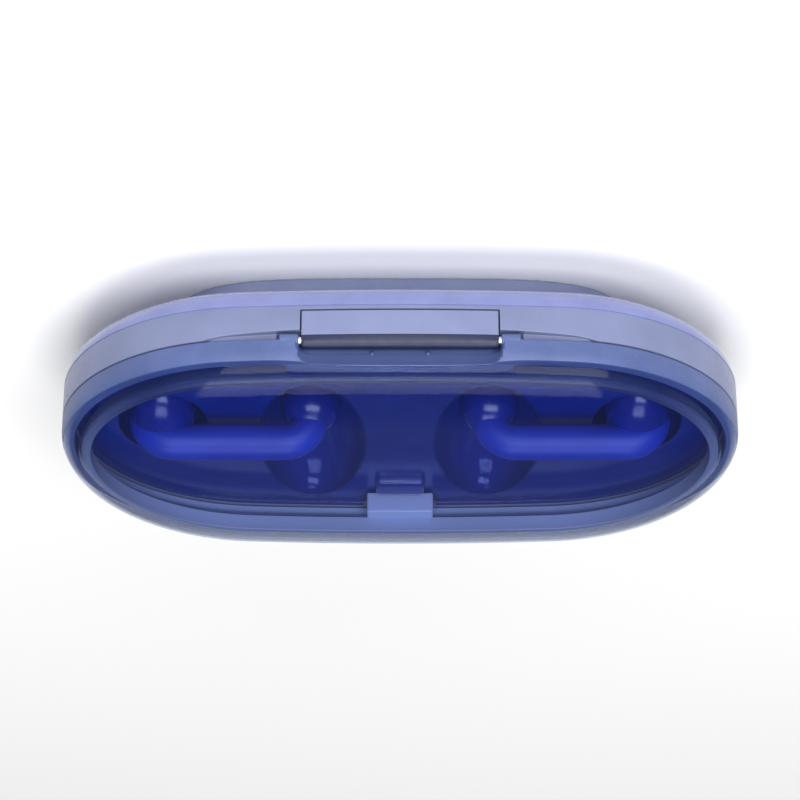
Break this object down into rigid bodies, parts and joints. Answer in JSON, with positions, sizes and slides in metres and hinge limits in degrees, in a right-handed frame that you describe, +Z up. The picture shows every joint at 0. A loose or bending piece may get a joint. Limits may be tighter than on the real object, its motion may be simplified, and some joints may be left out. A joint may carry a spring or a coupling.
{
  "type": "wireless earbuds case",
  "caption": "Flat oval charging case on a low foot with a clear hinged lid, holding a pair of ear-clip earbuds in a dark cradle.",
  "frame": {"origin": "middle of the foot's underside, on the surface the case stands on", "axes": "+X along the case, +Y towards the hinge, +Z up through the lid"},
  "size_m": [0.078, 0.046, 0.019],
  "materials": {
    "foot_plastic": "smooth satin, slightly translucent",
    "base_gloss": "glossy translucent",
    "band_satin": "satin",
    "hinge_plastic": "satin",
    "steel": "bright",
    "tray_navy": "glossy",
    "liner_gloss": "clear gloss",
    "board_green": "solder mask",
    "chip_black": "moulded",
    "lamp_white": "clear",
    "battery_foil": "foil",
    "foam_grey": "foam",
    "magnet_nickel": "nickel plated",
    "contact_gold": "gold plated",
    "lid_frost": "frosted with fine sparkle",
    "dome_clear": "clear gloss",
    "seal_dark": "matte",
    "bud_plastic": "gloss",
    "bud_soft": "silky soft touch",
    "grille_mesh": "fine mesh"
  },
  "bodies": {
    "case": {"foot": "foot_plastic", "bottom_shell": "base_gloss", "base_band": "band_satin", "hinge_block": "hinge_plastic", "hinge_pin": "steel", "cradle_tray": "tray_navy", "bowl_liner_left": "liner_gloss", "bowl_liner_right": "liner_gloss", "main_board": "board_green", "charge_chip": "chip_black", "hall_sensor": "chip_black", "status_lamp": "lamp_white", "light_pipe": "lamp_white", "port_shell": "steel", "port_tongue": "chip_black", "battery_cell": "battery_foil", "battery_pad": "foam_grey", "closing_magnet": "magnet_nickel", "bud_magnet_left": "magnet_nickel", "bud_magnet_right": "magnet_nickel", "tray_screws": "steel", "pogo_housing_left": "chip_black", "pogo_housing_right": "chip_black"},
    "lid": {"lid_band": "lid_frost", "lid_dome": "dome_clear", "lid_seal": "seal_dark", "lid_catch": "lid_frost", "lid_magnet": "magnet_nickel"},
    "earbud_left": {"bud_ball_left": "bud_plastic", "bud_grille_left": "grille_mesh", "bud_driver_left": "magnet_nickel", "bud_bridge_left": "bud_soft", "bud_barrel_left": "bud_plastic", "bud_cell_left": "battery_foil", "bud_contacts_left": "contact_gold"},
    "earbud_right": {"bud_ball_right": "bud_plastic", "bud_grille_right": "grille_mesh", "bud_driver_right": "magnet_nickel", "bud_bridge_right": "bud_soft", "bud_barrel_right": "bud_plastic", "bud_cell_right": "battery_foil", "bud_contacts_right": "contact_gold"},
    "plunger_left_1": {"pogo_plunger_left_1": "contact_gold"},
    "plunger_left_2": {"pogo_plunger_left_2": "contact_gold"},
    "plunger_right_1": {"pogo_plunger_right_1": "contact_gold"},
    "plunger_right_2": {"pogo_plunger_right_2": "contact_gold"}
  },
  "joints": [
    {"name": "lid_hinge", "type": "hinge", "parent": "case", "child": "lid", "pos_m": [0, 0.02195, 0.01205], "axis": [-1, 0, 0], "range_deg": [0, 90]},
    {"name": "earbud_lift_left", "type": "slide", "parent": "case", "child": "earbud_left", "axis": [0, 0, 1], "range_m": [0, 0.0003]},
    {"name": "plunger_travel_left_1", "type": "slide", "parent": "case", "child": "plunger_left_1", "axis": [0, 0, 1], "range_m": [-0.0004, 0], "stiffness_N_per_m": 150},
    {"name": "plunger_travel_left_2", "type": "slide", "parent": "case", "child": "plunger_left_2", "axis": [0, 0, 1], "range_m": [-0.0004, 0], "stiffness_N_per_m": 150},
    {"name": "earbud_lift_right", "type": "slide", "parent": "case", "child": "earbud_right", "axis": [0, 0, 1], "range_m": [0, 0.0003]},
    {"name": "plunger_travel_right_1", "type": "slide", "parent": "case", "child": "plunger_right_1", "axis": [0, 0, 1], "range_m": [-0.0004, 0], "stiffness_N_per_m": 150},
    {"name": "plunger_travel_right_2", "type": "slide", "parent": "case", "child": "plunger_right_2", "axis": [0, 0, 1], "range_m": [-0.0004, 0], "stiffness_N_per_m": 150}
  ]
}
